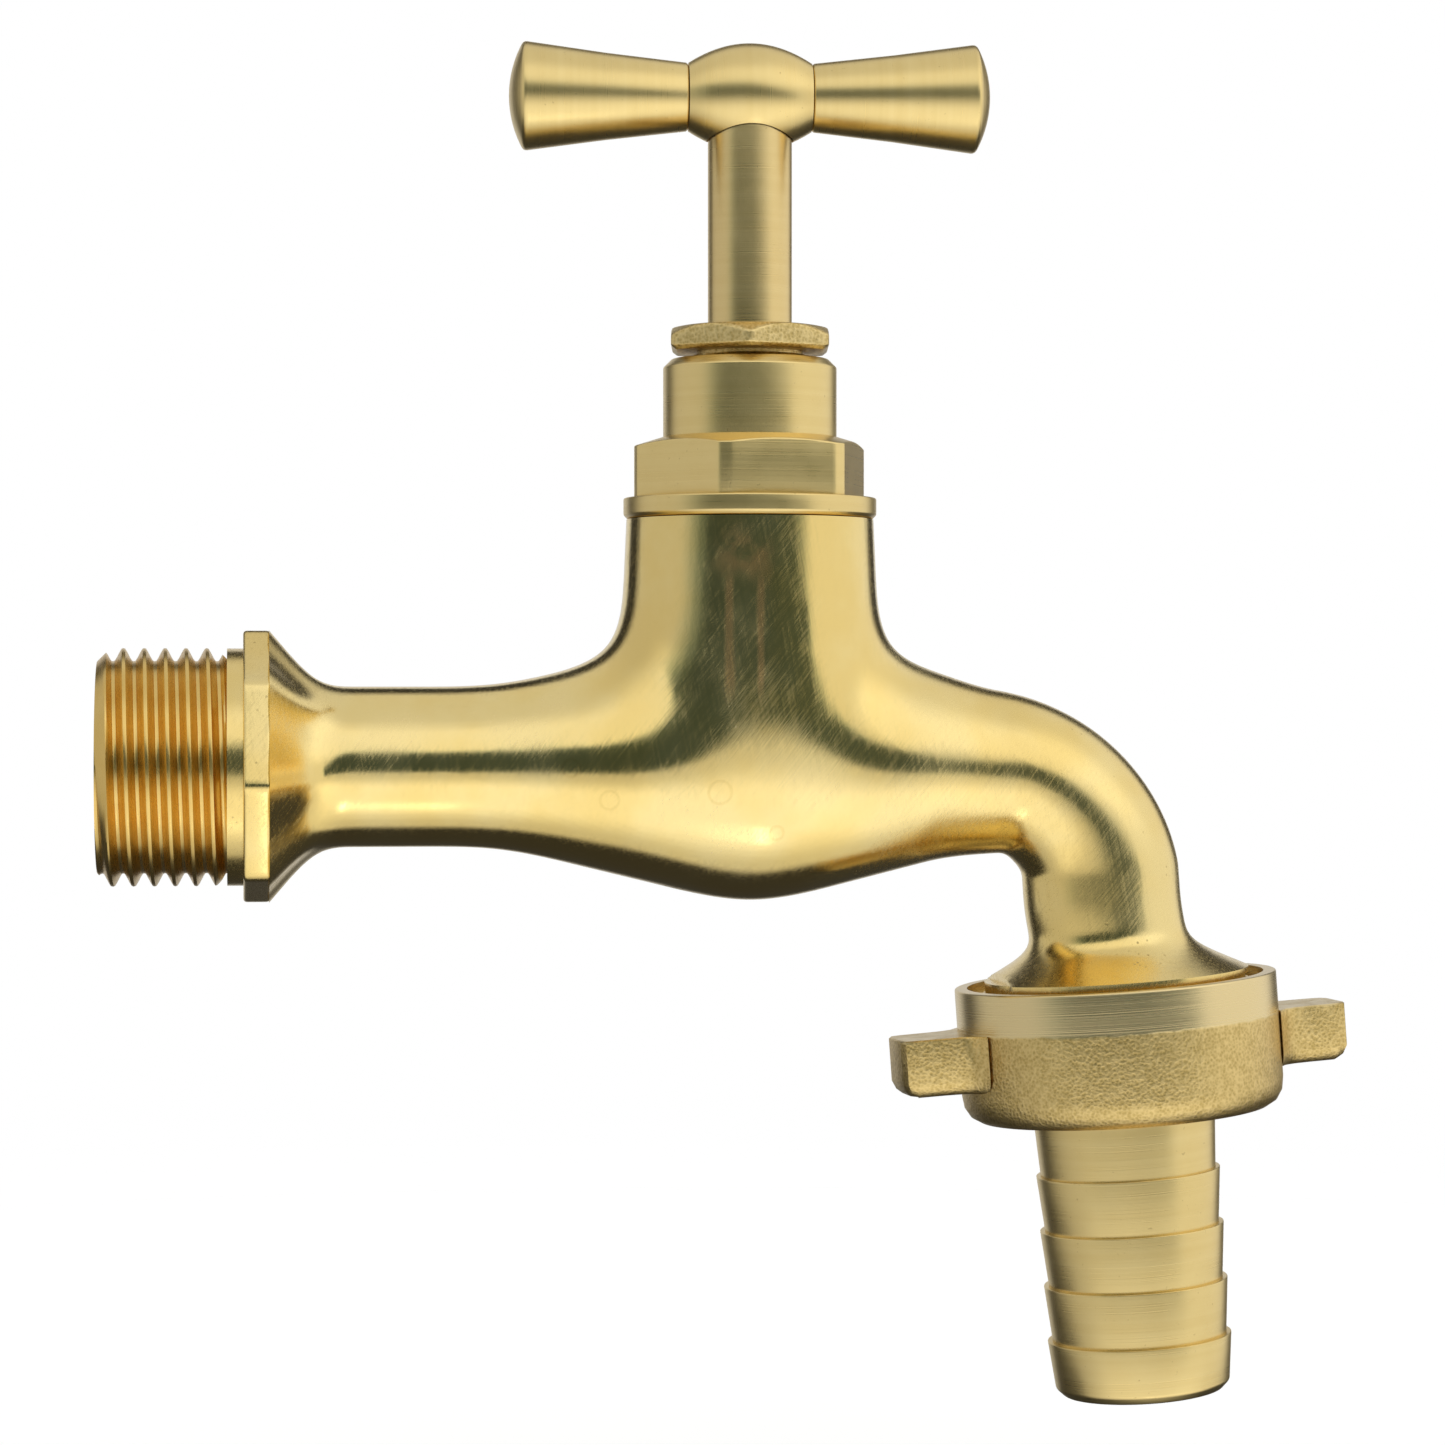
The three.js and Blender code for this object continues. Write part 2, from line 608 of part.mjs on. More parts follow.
// One arm, pointing along +X: a tenon into the hub and the spindle, a flared grip and a domed end.
function handleArm() {
  const start = hubLength / 2 + seatedGap;
  const edge = handleLength / 2 - armCap;
  const domeRadius = (armTipRadius * armTipRadius + armCap * armCap) / (2 * armCap);
  const domeAngle = THREE.MathUtils.radToDeg(Math.asin(armTipRadius / domeRadius));
  const dome = arc(0, edge + armCap - domeRadius, domeRadius, 90 - domeAngle, 90, 3);
  return alongInlet(turnedBlank([
    [0, runningGap], [tenonRadius, runningGap], [tenonRadius, start], [hubEndRadius, start],
    [armMiddleRadius, (start + edge) / 2], ...dome,
  ], 24));
}
add(handle, 'handle_arm_right', handleArm(), turnedBrass);
add(handle, 'handle_arm_left', handleArm(), turnedBrass).rotation.z = Math.PI;

// ---- Hose union: gasket, tail and wing nut, along the outlet's axis -----------------------------
const union = new THREE.Group();
union.applyMatrix4(outletFrame);
object.add(union);

const hoseGasketStart = outletLength + runningGap;
const tailStart = hoseGasketStart + hoseGasketHeight + runningGap;
const lipStart = nutLength - nutLip;
const lipHole = tailRadius + runningGap + seatedGap;
const tailEnd = firstBarb + barbCount * barbPitch;
add(
  union,
  'hose_gasket',
  ring(tailBore + 0.3, tailCollarRadius, hoseGasketStart, hoseGasketStart + hoseGasketHeight),
  blackRubber,
);

// Wing nut: a cup with a hole for the tail, and two wings. Its thread's crests stay clear of
// the outlet's, so it is bored to their size.
function wingNut() {
  const bore = outletThread.radius + threadGap;
  const cup = turned([
    [bore, 0], [nutRadius, 0], [nutRadius, nutLength - nutBottomRound],
    ...arc(nutRadius - nutBottomRound, nutLength - nutBottomRound, nutBottomRound, 0, 90, 4),
    [lipHole, nutLength], [lipHole, lipStart],
    [bore, lipStart], [bore, 0],
  ], 32);
  const half = wingThickness / 2;
  const plan = new THREE.Shape();
  plan.moveTo(-wingTip, wingRound - half);
  for (const side of [-1, 1]) {
    plan.lineTo(side * wingTip, side * (half - wingRound));
    plan.quadraticCurveTo(side * wingTip, side * half, side * (wingTip - wingRound), side * half);
    plan.lineTo(side * (nutRadius + wingRootReach), side * half);
    plan.quadraticCurveTo(
      side * (nutRadius - 0.5),
      side * half,
      side * (nutRadius - wingRootReach),
      side * (half + wingRootSpread),
    );
    plan.lineTo(-side * (nutRadius - wingRootReach), side * (half + wingRootSpread));
    plan.quadraticCurveTo(
      -side * (nutRadius - 0.5),
      side * half,
      -side * (nutRadius + wingRootReach),
      side * half,
    );
    plan.lineTo(-side * (wingTip - wingRound), side * half);
    plan.quadraticCurveTo(-side * wingTip, side * half, -side * wingTip, side * (half - wingRound));
  }
  const wings = new THREE.ExtrudeGeometry(plan, {
    depth: wingEnd - wingStart,
    bevelEnabled: false,
    curveSegments: 4,
  });
  const inside = rod(bore + 0.5, wingStart - 1, wingEnd + 1, 32);
  return cup.add(solid(wings.translate(0, 0, wingStart).rotateZ(wingTurn)).subtract(inside));
}
add(union, 'wing_nut', wingNut(), roughBrass);

// Hose tail: a collar under the gasket, and barbs whose lips face the tap.
function hoseTail() {
  const barbs = Array.from({ length: barbCount }, (_, count) => {
    const lip = firstBarb + count * barbPitch;
    const last = count === barbCount - 1;
    return [
      [tailNeckRadius, lip], [tailRadius, lip],
      [tailNeckRadius, lip + barbPitch - (last ? tailEdgeRound : 0)],
    ];
  }).flat();
  const collarEnd = lipStart - runningGap;
  return turned([
    [tailBore, tailStart], [tailCollarRadius, tailStart], [tailCollarRadius, collarEnd],
    [tailRadius - 0.1, collarEnd], [tailRadius - 0.1, nutLength], ...barbs,
    [tailNeckRadius - tailEdgeRound, tailEnd], [tailBore, tailEnd], [tailBore, tailStart],
  ], 28);
}
add(union, 'hose_tail', hoseTail(), turnedBrass);

export default object;
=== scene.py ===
from math import cos, degrees, pi, radians, sin

import bmesh
import bpy
from mathutils import Matrix, Vector


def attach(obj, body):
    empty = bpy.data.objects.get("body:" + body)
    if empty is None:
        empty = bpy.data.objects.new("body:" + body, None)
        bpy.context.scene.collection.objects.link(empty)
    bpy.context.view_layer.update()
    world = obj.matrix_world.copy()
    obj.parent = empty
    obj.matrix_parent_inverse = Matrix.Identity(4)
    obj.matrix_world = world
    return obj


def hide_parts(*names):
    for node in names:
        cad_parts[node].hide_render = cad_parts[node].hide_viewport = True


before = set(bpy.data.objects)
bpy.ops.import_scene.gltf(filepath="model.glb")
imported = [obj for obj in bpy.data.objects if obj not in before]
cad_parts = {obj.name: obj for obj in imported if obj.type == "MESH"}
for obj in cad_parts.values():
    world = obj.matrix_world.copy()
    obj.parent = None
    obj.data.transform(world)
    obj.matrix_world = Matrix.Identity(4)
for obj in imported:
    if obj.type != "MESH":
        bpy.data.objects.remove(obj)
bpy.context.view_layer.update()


# ---- Valve body ----------------------------------------------------------------------------
# One hollow sand casting in brass: the arm, the belly with the neck on it, and the spout that
# bends down to the outlet. It is ground and polished by hand, then the inlet, the neck and the
# outlet are turned and threaded, so only those have crisp edges. Sizes here are millimetres.

class Value:
    """One output of a node, which can be used in a sum like a number."""

    def __init__(self, tree, socket):
        self.tree = tree
        self.socket = socket

    def __add__(self, other):
        return self.tree.maths("ADD", self, other)

    def __radd__(self, other):
        return self.tree.maths("ADD", other, self)

    def __sub__(self, other):
        return self.tree.maths("SUBTRACT", self, other)

    def __rsub__(self, other):
        return self.tree.maths("SUBTRACT", other, self)

    def __mul__(self, other):
        return self.tree.maths("MULTIPLY", self, other)

    def __rmul__(self, other):
        return self.tree.maths("MULTIPLY", other, self)

    def __truediv__(self, other):
        return self.tree.maths("DIVIDE", self, other)

    def __rtruediv__(self, other):
        return self.tree.maths("DIVIDE", other, self)

    def __neg__(self):
        return self.tree.maths("MULTIPLY", self, -1)

    def __abs__(self):
        return self.tree.maths("ABSOLUTE", self)


class Tree:
    """The nodes of one material or of one shape."""

    def __init__(self, nodes):
        self.nodes = nodes

    def node(self, kind, settings=None, sockets=None, output=0):
        """Adds a node, sets it up, fills its sockets and gives one of its outputs."""
        made = self.nodes.nodes.new(kind)
        for name, setting in (settings or {}).items():
            setattr(made, name, setting)
        for name, filling in (sockets or {}).items():
            if isinstance(filling, Value):
                self.nodes.links.new(filling.socket, made.inputs[name])
            else:
                made.inputs[name].default_value = filling
        return Value(self, made.outputs[output]) if len(made.outputs) else None

    def maths(self, operation, *values):
        return self.node("ShaderNodeMath", {"operation": operation}, dict(enumerate(values)))

    def lesser(self, a, b, round=0):
        return self.maths("SMOOTH_MIN", a, b, round) if round else self.maths("MINIMUM", a, b)

    def greater(self, a, b, round=0):
        return self.maths("SMOOTH_MAX", a, b, round) if round else self.maths("MAXIMUM", a, b)

    def step(self, value, low, high):
        """0 below low, 1 above high, and an even curve between them."""
        return self.node(
            "ShaderNodeMapRange", {"interpolation_type": "SMOOTHSTEP"},
            {"Value": value, "From Min": low, "From Max": high, "To Min": 0.0, "To Max": 1.0},
        )

    def parts(self, vector):
        """The x, y and z of a vector."""
        split = self.node("ShaderNodeSeparateXYZ", {}, {0: vector}).socket.node
        return [Value(self, socket) for socket in split.outputs]


def shape_tree(name, sizes):
    """A tree that makes a shape, with a named input for each size."""
    group = bpy.data.node_groups.new(name, "GeometryNodeTree")
    group.interface.new_socket("Geometry", in_out="OUTPUT", socket_type="NodeSocketGeometry")
    for size, value in sizes.items():
        kind = "NodeSocketInt" if isinstance(value, int) else "NodeSocketFloat"
        group.interface.new_socket(size, in_out="INPUT", socket_type=kind).default_value = value
    tree = Tree(group)
    entry = group.nodes.new("NodeGroupInput")
    return tree, {size: Value(tree, entry.outputs[size]) for size in sizes}


def finish_shape(tree, geometry):
    """Millimetres become metres, and the shape goes out as one real mesh."""
    small = tree.node("GeometryNodeTransform", {}, {"Geometry": geometry, "Scale": (.001, .001, .001)})
    real = tree.node("GeometryNodeRealizeInstances", {}, {0: small})
    finished = tree.node("GeometryNodeSetMaterial", {}, {"Geometry": real})
    tree.node("NodeGroupOutput", {}, {0: finished})


def grown(name, group, sizes, place=Matrix()):
    """The plain mesh that a shape's nodes make at these sizes, put in its place."""
    piece = bpy.data.objects.new(name, bpy.data.meshes.new(name))
    bpy.context.scene.collection.objects.link(piece)
    shape = piece.modifiers.new("shape", "NODES")
    shape.node_group = group
    for item in group.interface.items_tree:
        if item.in_out == "INPUT" and item.name in sizes:
            shape[item.identifier] = sizes[item.name]
    settle(piece)
    piece.data.transform(place)
    return piece


def settle(piece):
    """Turns what a piece's modifiers make into its own plain mesh."""
    made = piece.evaluated_get(bpy.context.evaluated_depsgraph_get())
    piece.data = bpy.data.meshes.new_from_object(made)
    piece.modifiers.clear()


def carve(piece, operation, *tools):
    """Joins other solids to a piece, or cuts them out of it."""
    for tool in tools:
        step = piece.modifiers.new("carve", "BOOLEAN")
        step.operation = operation
        step.solver = "MANIFOLD"
        step.object = tool
    settle(piece)
    for tool in tools:
        bpy.data.objects.remove(tool)
    return piece


def eased(points):
    """An outline with its corners rounded. A corner is [radius, height, how much to round]."""
    outline = []
    for index, point in enumerate(points):
        if len(point) == 2:
            outline.append(tuple(point))
            continue
        corner = Vector(point[:2])
        back = Vector(points[index - 1][:2]) - corner
        on = Vector(points[(index + 1) % len(points)][:2]) - corner
        start = back.normalized() * min(point[2], back.length * .49)
        end = on.normalized() * min(point[2], on.length * .49)
        for share in (0, .25, .5, .75, 1):
            outline.append(tuple(corner + start * (1 - share) ** 2 + end * share ** 2))
    return outline


def turned(name, outline, around=128, place=Matrix()):
    """A solid turned about an axis. Its outline, in millimetres, starts and ends on the axis or
    closes on itself, and may be a function of the angle, for sides that aren't round."""
    shape = outline if callable(outline) else (lambda angle: outline)
    mesh = bmesh.new()
    columns = []
    for number in range(around):
        angle = 2 * pi * number / around
        columns.append([
            mesh.verts.new((radius * cos(angle), radius * sin(angle), height))
            for radius, height in eased(shape(angle))
        ])
    for column, following in zip(columns, columns[1:] + columns[:1]):
        for row in range(len(column) - 1):
            mesh.faces.new((column[row], following[row], following[row + 1], column[row + 1]))
    bmesh.ops.remove_doubles(mesh, verts=mesh.verts, dist=1e-5)
    bmesh.ops.recalc_face_normals(mesh, faces=mesh.faces)
    piece = bpy.data.objects.new(name, bpy.data.meshes.new(name))
    mesh.to_mesh(piece.data)
    mesh.free()
    bpy.context.scene.collection.objects.link(piece)
    piece.data.transform(Matrix.Scale(.001, 4))
    piece.data.transform(place)
    return piece


def complete(piece, body, nodes, materials, crease=34):
    """Welds the slivers that cutting leaves in a piece, then gives the piece its finish and its body,
    and hides the frame nodes that it stands for."""
    sliver = 5e-7
    shape = bmesh.new()
    shape.from_mesh(piece.data)
    bmesh.ops.remove_doubles(shape, verts=shape.verts, dist=sliver)
    bmesh.ops.dissolve_degenerate(shape, edges=shape.edges, dist=sliver)
    shape.to_mesh(piece.data)
    shape.free()
    piece.data.materials.clear()
    for material in materials:
        piece.data.materials.append(material)
    piece.data.polygons.foreach_set("use_smooth", [True] * len(piece.data.polygons))
    piece.data.set_sharp_from_angle(angle=radians(crease))
    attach(piece, body)
    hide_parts(*nodes)


def many_sided(angle, flats, sides, first_corner, crispness=70):
    """Distance from the axis to a many-sided bar with slightly worn corners."""
    turns = [cos(angle - first_corner - (side + .5) * 2 * pi / sides) for side in range(sides)]
    total = sum(max(turn, 0) ** crispness for turn in turns)
    return flats / 2 / total ** (1 / crispness)


spindle_x, neck_rim, gasket_seat = 45, 22, 21.2
bend_x, bend_z, bend_radius = 67.6, -10, 9.4
outlet_x, outlet_z, outlet_tilt = 78.26, -19.31, radians(4.1)
along_inlet = Matrix(((0, 0, 1, 0), (-1, 0, 0, 0), (0, -1, 0, 0), (0, 0, 0, 1)))
along_spindle = Matrix.Translation((spindle_x / 1000, 0, 0))
along_outlet = Matrix.Translation((outlet_x / 1000, 0, outlet_z / 1000)) @ Matrix.Rotation(
    pi - outlet_tilt, 4, "Y"
)

# The outside of the casting is everything inside a formula: a round bar of changing radius
# that follows the waterway, with the neck melted into it by a wide fillet.
tree, size = shape_tree("casting", {
    "Grid": .4, "Arm radius": 7.1, "Neck radius": 11.09, "Neck taper": .045, "Fillet": 7.6,
    "Flange radius": 11.6, "Belly slimness": .14, "Front tuck": .5,
})
x, y, z = tree.parts(tree.node("GeometryNodeInputPosition"))
across, down = x - bend_x, z - bend_z
turn = tree.node("ShaderNodeClamp", {}, {
    "Value": tree.maths("ARCTAN2", across, down), "Min": 0.0, "Max": pi / 2 - outlet_tilt,
})
turn_sin, turn_cos = tree.maths("SINE", turn), tree.maths("COSINE", turn)
corner = tree.maths("SINE", turn * 2)
reach = across * turn_sin + down * turn_cos
along = turn * bend_radius + across * turn_cos - down * turn_sin
middle = bend_radius - .6 * corner + .6 * (1 - tree.step(along, -7, 1))
middle = middle + .655 * tree.step(along, 16.5, 24)
up = (reach - middle) / (1 - .037 * corner)
level = along + bend_x
belly = tree.lesser(9.74 + .246 * (level - 33.34), 11.53 - .2527 * (level - 49.5), 4.0)
bar = tree.greater(belly, size["Arm radius"], 1.7)
scallop = .962 + .038 * tree.maths("COSINE", 8 * (tree.maths("ARCTAN2", z, y) - radians(7.5)))
bar = tree.greater(bar, (size["Flange radius"] - 1.18 * (level - 2.7)) * scallop, 3.9)
bar = tree.greater(bar, 10.3 + 2 * (along - 22.75), 4)
bar = tree.lesser(bar, 14)
slim = 1 + size["Belly slimness"] * (1 - tree.step(abs(level - 47), 3, 14))
run = tree.maths("SQRT", up * up + y * slim * (y * slim)) - bar
tuck = tree.greater((10 - z) / 10, 0)
neck_side = size["Neck radius"] + size["Neck taper"] * (21 - z) - 3 * tuck * tuck
neck_out = tree.maths("SQRT", (x - spindle_x) * (x - spindle_x) + y * y)
facing = y * y / tree.greater(neck_out * neck_out, 1)
neck = neck_out - neck_side + size["Front tuck"] * facing * (1 - tree.step(z, 5, 15))
neck = tree.greater(neck, -2 - z, 6)
inside = -tree.lesser(run, neck, size["Fillet"])
low, high = (.6, -14.4, -22.4), (93, 14.4, 23.2)
steps = {
    f"Resolution {axis}": tree.maths("CEIL", (high[place] - low[place]) / size["Grid"])
    for place, axis in enumerate("XYZ")
}
cloud = tree.node("GeometryNodeVolumeCube", {}, {
    "Density": inside, "Background": -1.0, "Min": low, "Max": high, **steps,
})
finish_shape(tree, tree.node("GeometryNodeVolumeToMesh", {}, {"Volume": cloud, "Threshold": 0.0}))
casting = tree.nodes

# Screw threads with rounded crests and roots. Rows of points follow the helix, and each end is
# chamfered down to the root of the thread.
tree, size = shape_tree("screw_thread", {
    "Radius": 10.0, "Root": 9.0, "Pitch": 1.8, "Length": 12.0, "Rows": 100, "Around": 97,
})
grid = tree.node("GeometryNodeMeshGrid", {}, {
    "Size X": 1.0, "Size Y": 1.0, "Vertices X": size["Around"], "Vertices Y": size["Rows"],
})
x, y, z = tree.parts(tree.node("GeometryNodeInputPosition"))
share = x + .5
row = tree.maths("ROUND", (y + .5) * (size["Rows"] - 1))
ends = tree.greater(
    tree.maths("LESS_THAN", row, .5), tree.maths("GREATER_THAN", row, size["Rows"] - 1.5)
)
height = tree.node("ShaderNodeClamp", {}, {
    "Value": ((row - 1) / 12 - 1 + share) * size["Pitch"], "Min": 0.0, "Max": size["Length"],
})
phase = tree.maths("FRACT", height / size["Pitch"] - share + 4)
depth = size["Radius"] - size["Root"]
flank = size["Root"] + depth * (1.25 - 3 * abs(phase - .5))
rounded = tree.lesser(tree.greater(flank, size["Root"], .3), size["Radius"], .3)
chamfer = size["Root"] + tree.lesser(height, size["Length"] - height)
radius = tree.lesser(rounded, chamfer) * (1 - ends)
where = tree.node("ShaderNodeCombineXYZ", {}, {
    "X": radius * tree.maths("COSINE", share * (2 * pi)),
    "Y": radius * tree.maths("SINE", share * (2 * pi)),
    "Z": height,
})
helix = tree.node("GeometryNodeSetPosition", {}, {"Geometry": grid, "Position": where})
finish_shape(tree, tree.node("GeometryNodeMergeByDistance", {}, {
    "Geometry": helix, "Distance": 1e-4,
}))
screw_thread = tree.nodes


def screw(name, radius, root, pitch, bottom, top, place, around=96):
    """A threaded rod with its lower end at bottom, in millimetres along an axis."""
    length = top - bottom
    rows = 12 * (int(length / pitch) + 3) + 3
    lifted = place @ Matrix.Translation((0, 0, bottom / 1000))
    rod = grown(name, screw_thread, {
        "Radius": radius, "Root": root, "Pitch": pitch, "Length": length,
        "Rows": rows, "Around": around + 1,
    }, lifted)
    mesh = bmesh.new()
    mesh.from_mesh(rod.data)
    bmesh.ops.remove_doubles(mesh, verts=mesh.verts, dist=1e-7)
    bmesh.ops.recalc_face_normals(mesh, faces=mesh.faces)
    mesh.to_mesh(rod.data)
    mesh.free()
    return rod


def duct(name, stations):
    """A waterway along the XZ plane: each station is x, z, radius, fall in degrees and width."""
    mesh = bmesh.new()
    rings, around = [], 48
    for x, z, radius, fall, width in stations:
        tip = radians(fall)
        rings.append([
            mesh.verts.new((
                x + radius * cos(turn) * sin(tip), width * sin(turn), z + radius * cos(turn) * cos(tip)
            ))
            for turn in (2 * pi * number / around for number in range(around))
        ])
    for ring, following in zip(rings, rings[1:]):
        for number in range(around):
            after = (number + 1) % around
            mesh.faces.new((ring[number], following[number], following[after], ring[after]))
    mesh.faces.new(rings[0])
    mesh.faces.new(rings[-1])
    bmesh.ops.recalc_face_normals(mesh, faces=mesh.faces)
    piece = bpy.data.objects.new(name, bpy.data.meshes.new(name))
    mesh.to_mesh(piece.data)
    mesh.free()
    piece.data.transform(Matrix.Scale(.001, 4))
    bpy.context.scene.collection.objects.link(piece)
    return piece


def octagon_plate(angle):
    corner = many_sided(angle, 22.45, 8, radians(7.5), 160)
    return [[0, 0], [corner, 0, .35], [corner, 2.3, .3], [corner - .9, 2.7], [0, 2.7]]


body = grown("tap_casting", casting, {})
carve(
    body, "DIFFERENCE",
    turned("above_neck", [[0, neck_rim], [16, neck_rim], [16, 30], [0, 30]], 64, along_spindle),
    turned("past_rim", [[0, 0], [20, 0], [20, 9], [0, 9]], 64, along_outlet),
    turned("before_flange", [[0, -4], [18, -4], [18, 2.25], [0, 2.25]], 64, along_inlet),
    turned("round_rim", [
        [12.06, -2.4], [20, -2.4], [20, 4], [12.06, 4], [12.06, -2.4],
    ], 128, along_outlet),
)
shoulder = [[0, -1.4], [10.45, -1.4], [10.45, 1.6], [0, 1.6]]
pipe_pitch = 1.814
carve(
    body, "UNION",
    turned("plate", octagon_plate, 192, along_inlet),
    turned("shoulder", shoulder, 128, along_inlet),
    screw("inlet_screw", 10.4775, 9.3155, pipe_pitch, -12.7, -1.2, along_inlet, 128),
    screw("outlet_screw", 13.2205, 12.0585, pipe_pitch, .6, 6.5, along_outlet, 128),
    turned("outlet_neck", [[0, -.5], [11.75, -.5], [11.75, 1.2], [0, 1.2]], 128, along_outlet),
)
bends = [
    (bend_x + (bend_radius - .6 * sin(2 * fall)) * sin(fall),
     bend_z + (bend_radius - .6 * sin(2 * fall)) * cos(fall), 5.2, degrees(fall), 5.2)
    for fall in ((pi / 2 - outlet_tilt) * share / 10 for share in range(11))
]
carve(
    body, "DIFFERENCE",
    duct("inlet_way", [
        (-14, 0, 6.6, 0, 6.6), (-12.7, 0, 6.6, 0, 6.6), (-10.2, 0, 5.2, 0, 5.2), (24, 0, 5.2, 0, 5.2),
        (28, -.8, 4.9, 20, 4.9), (32, -3.2, 4.3, 38, 4.3), (36, -5.6, 3.3, 25, 4.6),
        (40, -6.6, 3.1, 4, 5.6), (45, -6.6, 3.2, 0, 6), (50, -6.6, 2.6, 0, 4.6),
        (52.5, -6.6, 1.2, 0, 2.2),
    ]),
    turned("seat_port", [[0, -6.6], [5, -6.6], [5, 1.3], [0, 1.3]], 64, along_spindle),
    turned("chamber", [
        [0, .3], [6.2, .3], [6.2, -1], [8.1, -1], [8.1, 13], [9.15, 13],
        [9.15, gasket_seat], [10.4, gasket_seat], [10.4, 23], [0, 23],
    ], 96, along_spindle),
    duct("spout_way", [
        (51.5, 2.6, 3.2, 0, 4.2), (54, 1.6, 4.4, 12, 4.8), (58, .4, 5.2, 8, 5.2), *bends,
        (outlet_x, outlet_z, 5.2, 90 - degrees(outlet_tilt), 5.2),
    ]),
    turned("outlet_mouth", [[0, -2], [6, -2], [6, 7.5], [0, 7.5]], 64, along_outlet),
)


def new_material(name):
    """A material with an empty tree, and its place on the object in millimetres."""
    material = bpy.data.materials.new(name)
    material.use_nodes = True
    material.node_tree.nodes.clear()
    tree = Tree(material.node_tree)
    metres = tree.node("ShaderNodeTexCoord", {}, {}, "Object")
    point = tree.node("ShaderNodeVectorMath", {"operation": "SCALE"}, {0: metres, "Scale": 1000.0})
    return material, tree, point


def mapped(tree, point, turn=(0, 0, 0), scale=(1, 1, 1)):
    """A pattern's space: turned first and then stretched, so that the stretch turns too."""
    turned_point = tree.node("ShaderNodeMapping", {}, {"Vector": point, "Rotation": turn})
    return tree.node("ShaderNodeMapping", {}, {"Vector": turned_point, "Scale": scale})


def noise(tree, point, scale, detail=2.0, roughness=.5):
    return tree.node("ShaderNodeTexNoise", {}, {
        "Vector": point, "Scale": scale, "Detail": detail, "Roughness": roughness,
    })


def blended(tree, factor, first, second):
    """A colour between two others."""
    return tree.node(
        "ShaderNodeMix", {"data_type": "RGBA"}, {0: factor, 6: first, 7: second}, 2
    )


def metal(tree, colour, roughness, height, strength, distance=.00003, metallic=1.0):
    """Finishes a material: its colour, its gloss, and its relief as a height from 0 to 1."""
    relief = tree.node("ShaderNodeBump", {}, {
        "Strength": strength, "Distance": distance, "Height": height,
    })
    surface = tree.node("ShaderNodeBsdfPrincipled", {}, {
        "Base Color": colour, "Metallic": metallic, "Roughness": roughness, "Normal": relief,
    })
    tree.node("ShaderNodeOutputMaterial", {}, {"Surface": surface})


# Polished casting: fine diagonal marks from the polishing wheel, faint dried water rings on the
# belly, a brown blotch and two streaks down the neck, and casting pits left round the flare.
polished_brass, tree, point = new_material("polished_cast_brass")
x, y, z = tree.parts(point)
cloudy = noise(tree, point, .11, 3)
wheel = noise(tree, mapped(tree, point, (0, radians(52), 0), (.16, 2.6, 6.5)), 1, 4, .7)
cross = noise(tree, mapped(tree, point, (0, radians(100), 0), (.14, 2.2, 5)), 1, 3, .7)
wander = noise(tree, mapped(tree, point, scale=(.35, .35, .1)), 1, 2)
front = tree.step(-y, 1, 4)
marks = 0
water_rings = (31.6, -2.8, .8), (28.3, 0, .75), (41.1, -2.1, 1), (46.2, -5.7, .6)
for mark_x, mark_z, mark_radius in water_rings:
    far = tree.maths("SQRT", (x - mark_x) * (x - mark_x) + (z - mark_z) * (z - mark_z))
    marks = tree.greater(1 - tree.step(abs(far - mark_radius), .04, .2), marks)
streaks = tree.greater(
    1 - tree.step(abs(x - 42.3 + .8 * wander), .15, .6),
    1 - tree.step(abs(x - 44.8 + .6 * wander), .1, .5),
) * tree.step(z, 5, 8) * (1 - tree.step(z, 15.5, 19))
blotch = 1 - tree.step(
    tree.maths("SQRT", (x - 43.2) * (x - 43.2) + (z - 18.4) * (z - 18.4)) + 3.4 * wander, 2.6, 5.2
)
pits = tree.node("ShaderNodeTexVoronoi", {}, {"Vector": point, "Scale": 1.5, "Randomness": 1.0})
cluster = 1 - tree.step(tree.maths("SQRT", (x - 79) * (x - 79) * .3 + (z + 16.4) * (z + 16.4)), .6, 1.7)
scattered = tree.step(noise(tree, point, .3, 2), .58, .66)
scattered = scattered * tree.greater(tree.step(x, 66, 76), 1 - tree.step(x, 2, 7))
pitted = (1 - tree.step(pits, .1, .24)) * tree.greater(front * cluster, .5 * scattered)
gold = blended(tree, tree.step(cloudy, .35, .68), (.84, .63, .23, 1), (.88, .7, .31, 1))
gold = blended(tree, front * marks * .22, gold, (.62, .43, .13, 1))
stain = front * tree.greater(streaks * .6, blotch * .6 * tree.step(noise(tree, point, .6, 3), .3, .6))
gold = blended(tree, stain, gold, (.5, .28, .11, 1))
gold = blended(tree, pitted * .6, gold, (.2, .14, .05, 1))
brushed = tree.step(.6 * wheel + .4 * cross, .42, .66)
satin = tree.greater(tree.step(x, 50, 66), 1 - tree.step(x, 3, 9))
dull = .1 + .13 * brushed + .08 * tree.step(cloudy, .48, .7) + .08 * satin + .25 * pitted + .1 * stain
relief = 1.3 * wheel + .9 * cross + 5 * noise(tree, point, .16, 1) - 2 * pitted
metal(tree, gold, dull, relief, .13, metallic=1 - .22 * stain)

# Cut thread: bright from the tool, and a deeper gold where its flanks reflect each other.
cut_brass, tree, point = new_material("cut_thread_brass")
x, y, z = tree.parts(point)
lines = noise(tree, mapped(tree, point, (0, 0, 0), (9, .5, .5)), 1, 2)
gold = blended(tree, noise(tree, point, .5, 3), (.72, .47, .13, 1), (.82, .6, .22, 1))
metal(tree, gold, .2 + .16 * lines, lines, .14)

body.name = "tap_body_casting"
complete(body, "tap_body", ["valve_body"], [polished_brass, cut_brass], 38)
for face in body.data.polygons:
    face.material_index = 1 if face.center.x < -.00115 else 0


